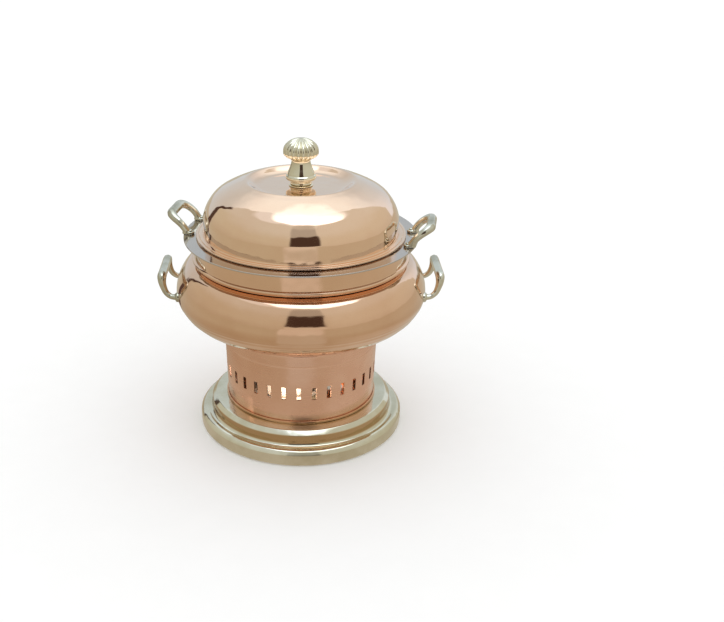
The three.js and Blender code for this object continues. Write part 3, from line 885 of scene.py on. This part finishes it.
def knob_washer():
    low, high = corners("knob_washer")
    hole, outer, z0, z1 = 3.1, high[0], low[2], high[2]
    outline = rounded([(hole, z1), (hole, z0, 0.3), (outer - 0.4, z0, 0.2), (outer, z0 + 0.6, 0.5),
                       (outer - 1.2, z1, 0.6), (8, z1), (hole, z1)], 4)
    return lathe("knob_rosette", outline[:-1], MEDIUM)


def lid_knob():
    low, high = corners("lid_knob")
    foot, top = low[2], high[2]

    def placed(points):
        """Points whose heights are stretched from the drawn knob to the node."""
        stretch = (top - foot) / CAD_KNOB_HEIGHT
        return [(r, foot + (h - CAD_KNOB_FOOT) * stretch, *rest) for r, h, *rest in points]

    outline = [
        *placed([(0, 299), (2.7, 298.4)]), (2.7, foot),
        *rounded(placed([(6, 284), (11.4, 284, 0.5), (12.0, 285.0, 0.5), (11.6, 286.2, 0.4),
                         (12.0, 288.0)]), 4),
        *smooth(placed([(12.2, 288.1), (14.7, 288.7), (16.3, 290.0), (16.7, 291.7), (16.3, 293.4),
                        (15.4, 294.5)]), 6),
        *smooth(placed([(15.0, 294.8), (14.6, 296.2), (13.2, 299.6), (11.7, 303.2), (10.7, 306.4),
                        (10.3, 308.6), (10.4, 310.0)]), 6),
        *smooth(placed([(10.5, 310.4), (12.4, 312.0), (15.2, 313.4), (17.5, 315.0), (18.9, 317.0),
                        (19.3, 319.2), (19.1, 321.8), (18.2, 324.5), (16.4, 327.2), (13.6, 329.8),
                        (10.0, 331.9), (6.4, 333.1), (3.2, 333.8), (1.6, 334.0)]), 7),
        (0, top),
    ]
    start = placed([(0, FLUTED_FROM)])[0][1]

    def fluted(r, h, a):
        """Rounded ribs with narrow grooves on the head, fading out at the crown and the neck."""
        if h < start or r < 2:
            return r
        wave = abs(math.sin(FLUTES * (a + QUARTER) / 2)) ** 0.7
        rise = min(1, (h - start) / 3.0)
        crown = min(1, max(0, (r - 2.0) / 5.0))
        return r - FLUTE_DEPTH * (1 - wave) * rise * crown

    return lathe("knob_fluted", outline, 240, fluted)


def knob_screw():
    low, high = corners("knob_screw")
    z0, z1 = low[2], high[2]
    head, shank = 5.6, 2.4
    outline = rounded([(0, z0 + 0.1), (3.8, z0, 1.0), (head, z0 + 1.4, 0.8), (head, z0 + 2.6, 0.2),
                       (shank, z0 + 2.6, 0.2), (shank, z1, 0.3), (0, z1)], 5)
    return lathe("knob_bolt", outline, SMALL)


# ---- all pieces ---------------------------------------------------------------------------------
finish(base_plate(), "base_plate")
finish(drum_foot_ring(), "drum_foot_ring", "copper_bead")
finish(vent_drum(), "vent_drum")
finish(burner_tray(), "burner_tray")
finish(fuel_cup(), "fuel_cup")
finish(fuel_wick(), "fuel_wick")
finish(cup_cover(), "cup_cover")
finish(snuffer_pin(), "snuffer_pin")
finish(snuffer_disc(), "snuffer_disc")
finish(snuffer_knob(), "snuffer_knob")
finish(bowl_shell(), "bowl_shell")
finish(neck_collar(), "neck_collar")
finish(foot_ring("bowl_foot_ring", "bowl_centring_ring", 2.0), "bowl_foot_ring")
finish(pan_liner(), "pan_liner")
finish(lid_dome(), "lid_dome")
finish(foot_ring("lid_locating_ring", "lid_seat_ring", 1.4), "lid_locating_ring")
finish(knob_washer(), "knob_washer", "brass_knob")
finish(lid_knob(), "lid_knob")
finish(knob_screw(), "knob_screw")
for side in ("left", "right"):
    finish(bowl_handle(side), f"bowl_handle_{side}")
    finish(pan_handle(side), f"pan_handle_{side}")
    for i in (1, 2):
        node = f"bowl_rivet_{side}_{i}"
        finish(bowl_rivet(f"bowl_shank_{side}_{i}", node), node)
        node = f"pan_rivet_{side}_{i}"
        finish(pan_rivet(f"pan_stud_{side}_{i}", node), node)


# ---- studio -------------------------------------------------------------------------------------
# what the metal sees, as linear colours
WALL_FOOT = (0.53, 0.49, 0.40)
WALL_MIDDLE = (0.60, 0.59, 0.50)
WALL_TOP = (0.67, 0.70, 0.68)
WALL_RIGHT = (0.84, 0.82, 0.76)
CEILING = (0.88, 0.96, 1.06)
DIFFUSER = (2.2, 2.5, 2.9)
BACK_LEFT = (0.63, 0.70, 0.75)
BACK_RIGHT = (0.89, 0.97, 1.08)
BACK_TOP = (1.06, 1.19, 1.30)
SEAM_DARK = (0.08, 0.05, 0.04)
LENS_STRIP = (0.68, 0.65, 0.58)
LENS_VEIL = (0.18, 0.17, 0.17)
LENS_DARK = (0.07, 0.045, 0.035)
TABLE_AT_FOOT = (0.52, 0.46, 0.37)
TABLE_NEAR = (0.45, 0.38, 0.275)
TABLE_FAR = (0.53, 0.50, 0.40)
TABLE_RIGHT_NEAR = (0.68, 0.66, 0.60)
TABLE_RIGHT_FAR = (0.62, 0.56, 0.48)
STRIP_NEAR = (0.54, 0.51, 0.44)
STRIP_FAR = (0.70, 0.67, 0.62)
TABLE_SEAM = (0.10, 0.06, 0.05)
TENT_LIGHT = (1.07, 1.07, 1.06)  # the even light on everything that isn't metal
WHITE = (1.0, 1.0, 1.0)
# below, "backward" runs from -1 towards the camera to 1 away from it
BACK_EDGE = 0.70  # where the back wall starts
SEAM_EDGES = (0.620, 0.635, 0.700, 0.715)  # soft limits of the dark seam beside it
LENS_SIDE = 0.07  # the lens stands this little to the right
LENS_EDGES = (0.33, 0.27)  # soft limits of the gap round the lens, sideways
LAMP_SIZE = (0.090, 0.020)
LAMP_PLACE = (-0.066, 0.047)  # Y and Z


def product(n, *values):
    result = values[0]
    for value in values[1:]:
        result = n.math("MULTIPLY", result, value)
    return result


def seam_at(n, backward):
    """1 where the tent's dark seam is, by how far a direction points backwards."""
    a, b, c, d = SEAM_EDGES
    return product(n, n.span(backward, a, b), n.span(backward, d, c))


def tent_walls(n, side, backward, z):
    """Warm grey walls, paler upwards and to the right, and a cooler back wall behind a dark seam."""
    walls = n.mix(n.span(z, -0.1, 0.3), WALL_FOOT, WALL_MIDDLE)
    walls = n.mix(n.span(z, 0.30, 0.70), walls, WALL_TOP)
    walls = n.mix(n.span(z, 0.82, 0.87), walls, CEILING)
    walls = n.mix(n.span(side, -1.0, 1.0, 0.0, 0.30), walls, WALL_RIGHT)
    back = n.mix(n.span(side, 0.2, 0.8), BACK_LEFT, BACK_RIGHT)
    back = n.mix(n.span(z, 0.5, 0.85), back, BACK_TOP)
    back = n.mix(n.span(z, 0.05, -0.05), back, walls)
    colour = n.mix(n.span(backward, BACK_EDGE - 0.02, BACK_EDGE), walls, back)
    seam = product(n, seam_at(n, backward), n.span(side, -0.2, -0.3), n.span(z, 0.64, 0.58))
    return n.mix(seam, colour, SEAM_DARK)


def lens_gap(n, colour, side, backward, z):
    """The gap in front where the lens looks in: a pale strip below, the dark gap, a veil above."""
    from_lens = n.math("ABSOLUTE", n.math("SUBTRACT", side, LENS_SIDE))
    width = product(n, n.span(from_lens, *LENS_EDGES), n.span(backward, 0.0, -0.1))
    strip = product(n, width, n.span(z, 0.22, 0.12))
    veil = product(n, width, n.span(z, 0.88, 0.74, 0.0, 0.45), n.span(z, 0.40, 0.52))
    lens = product(n, width, n.span(z, 0.08, 0.13), n.span(z, 0.56, 0.50))
    colour = n.mix(strip, colour, LENS_STRIP)
    colour = n.mix(veil, colour, LENS_VEIL)
    return n.mix(lens, colour, LENS_DARK)


def diffuser_at(n, x, front, z):
    """The round diffuser overhead, weaker towards its back."""
    over = n.math("MAXIMUM", z, 0.05)
    across = n.math("DIVIDE", n.math("SUBTRACT", n.math("DIVIDE", x, over), 0.14), 0.50)
    along = n.math("DIVIDE", n.math("SUBTRACT", n.math("DIVIDE", front, over), 0.08), 0.56)
    inside = n.span(distance_from_axis(n, across, along), 1.10, 0.86)
    return product(n, inside, n.span(z, 0.2, 0.3), n.span(along, -0.9, 0.3, 0.3, 1.0))


def world():
    """The light tent that the metal sees, by direction; other rays get an even white."""
    tent = bpy.data.worlds.new("light_tent")
    tent.use_nodes = True
    bpy.context.scene.world = tent
    tree = tent.node_tree
    tree.nodes.clear()
    n = Nodes(tree)
    place = n.add("ShaderNodeTexCoord").outputs["Generated"]
    x, y, z = n.add("ShaderNodeSeparateXYZ", {0: place}).outputs
    level = n.math("MAXIMUM", distance_from_axis(n, x, y), 0.001)
    side = n.math("DIVIDE", x, level)
    backward = n.math("DIVIDE", y, level)

    colour = lens_gap(n, tent_walls(n, side, backward, z), side, backward, z)
    colour = n.mix(diffuser_at(n, x, n.math("MULTIPLY", y, -1.0), z), colour, DIFFUSER)
    rays = n.add("ShaderNodeLightPath").outputs
    colour = n.mix(rays["Is Diffuse Ray"], colour, TENT_LIGHT)
    colour = n.mix(rays["Is Camera Ray"], colour, WHITE)
    shade = n.add("ShaderNodeBackground", {"Color": colour, "Strength": 1.0})
    output = n.add("ShaderNodeOutputWorld")
    tree.links.new(shade.outputs[0], output.inputs[0])


def glow_table():
    """What the metal sees of the table: warm grey, darkened near the kettle by painted shade, with a
    paler strip towards the lens."""
    material = bpy.data.materials.new("table_in_metal")
    material.use_nodes = True
    tree = material.node_tree
    tree.nodes.clear()
    n = Nodes(tree)
    place = n.add("ShaderNodeTexCoord").outputs["Object"]
    x, y, _ = n.add("ShaderNodeSeparateXYZ", {0: place}).outputs
    far = distance_from_axis(n, x, y)
    level = n.math("MAXIMUM", far, 0.01)

    # TABLE_NEAR, darker than TABLE_FAR, is painted shade of the kettle on the table
    colour = n.mix(n.span(far, 0.22, 0.75), TABLE_NEAR, TABLE_FAR)
    colour = n.mix(n.span(far, 0.20, 0.14), colour, TABLE_AT_FOOT)
    ahead = n.math("MAXIMUM", n.math("MULTIPLY", y, -1.0), 0.01)
    from_middle = n.math("ABSOLUTE", n.math("DIVIDE", x, ahead))
    strip = product(n, n.span(from_middle, 0.36, 0.28), n.span(y, -0.16, -0.24))
    strip_colour = n.mix(n.span(far, 0.66, 0.92), STRIP_NEAR, STRIP_FAR)
    colour = n.mix(strip, colour, strip_colour)
    colour = n.mix(n.span(x, -1.0, 1.0, 0.0, 0.25), colour, TABLE_RIGHT_FAR)
    right = n.span(n.math("DIVIDE", x, level), 0.15, 0.9, 0.0, 0.38)
    colour = n.mix(product(n, right, n.span(far, 0.45, 0.30)), colour, TABLE_RIGHT_NEAR)
    backward = n.math("DIVIDE", y, level)

    seam = product(n, seam_at(n, backward), n.span(x, -0.1, -0.2), n.span(far, 0.3, 0.4))
    colour = n.mix(seam, colour, TABLE_SEAM)
    glow = n.add("ShaderNodeEmission", {"Color": colour, "Strength": 1.0})
    output = n.add("ShaderNodeOutputMaterial")
    tree.links.new(glow.outputs[0], output.inputs[0])
    return material


def matt_paper(name, lightness):
    material = bpy.data.materials.new(name)
    material.use_nodes = True
    tree = material.node_tree
    n = Nodes(tree)
    shader = tree.nodes["Principled BSDF"]
    grain = n.noise(n.add("ShaderNodeTexCoord").outputs["Object"], 30.0, 3.0)
    base = n.mix(n.span(grain, 0.3, 0.7), [lightness] * 3, [lightness * 0.99] * 3)
    tree.links.new(base, shader.inputs["Base Color"])
    shader.inputs["Roughness"].default_value = 0.9
    shader.inputs["Specular IOR Level"].default_value = 0.0
    return material


def stage_disc(name, z, material):
    """A wide flat disc under the kettle that isn't part of it."""
    radius, count = 30.0, 64
    angles = np.linspace(0, 2 * math.pi, count, endpoint=False)
    verts = [(0, 0, z), *[(radius * math.cos(a), radius * math.sin(a), z) for a in angles]]
    faces = [[0, i + 1, (i + 1) % count + 1] for i in range(count)]
    piece = new_object(name, verts, faces)
    piece.data.materials.append(material)
    return piece


def studio():
    """A white floor, and below it the table that only reflections see."""
    floor = stage_disc("floor", -0.2 * MM, matt_paper("floor_white", 0.97))
    floor.visible_glossy = False
    table = stage_disc("table_seen_in_metal", -0.6 * MM, glow_table())
    table.visible_camera = False
    table.visible_diffuse = False
    table.visible_shadow = False


def burner_light():
    """A small soft lamp behind the drum's front wall, below the slots, that shows the fuel cup."""
    light = bpy.data.lights.new("burner_light", "AREA")
    light.shape = "RECTANGLE"
    light.size, light.size_y = LAMP_SIZE
    light.spread = math.radians(110)
    light.energy = 0.036
    light.color = (1.0, 0.84, 0.72)
    lamp = bpy.data.objects.new("burner_light", light)
    lamp.location = (middle_x("fuel_cup") * MM, *LAMP_PLACE)
    lamp.rotation_euler = (QUARTER, 0, 0)
    lamp.visible_camera = False
    bpy.context.scene.collection.objects.link(lamp)


def camera():
    data = bpy.data.cameras.new("camera")
    data.sensor_width = 36.0
    data.lens = 49.65
    data.shift_x = 0.0843
    data.shift_y = -0.0191
    eye = bpy.data.objects.new("camera", data)
    eye.location = (0, -1.040, 0.59662)
    aim = Vector((0, 0, 0.150))
    eye.rotation_euler = (aim - eye.location).to_track_quat("-Z", "Y").to_euler()
    bpy.context.scene.collection.objects.link(eye)
    bpy.context.scene.camera = eye


world()
studio()
burner_light()
camera()
bpy.context.scene.view_settings.view_transform = "Standard"
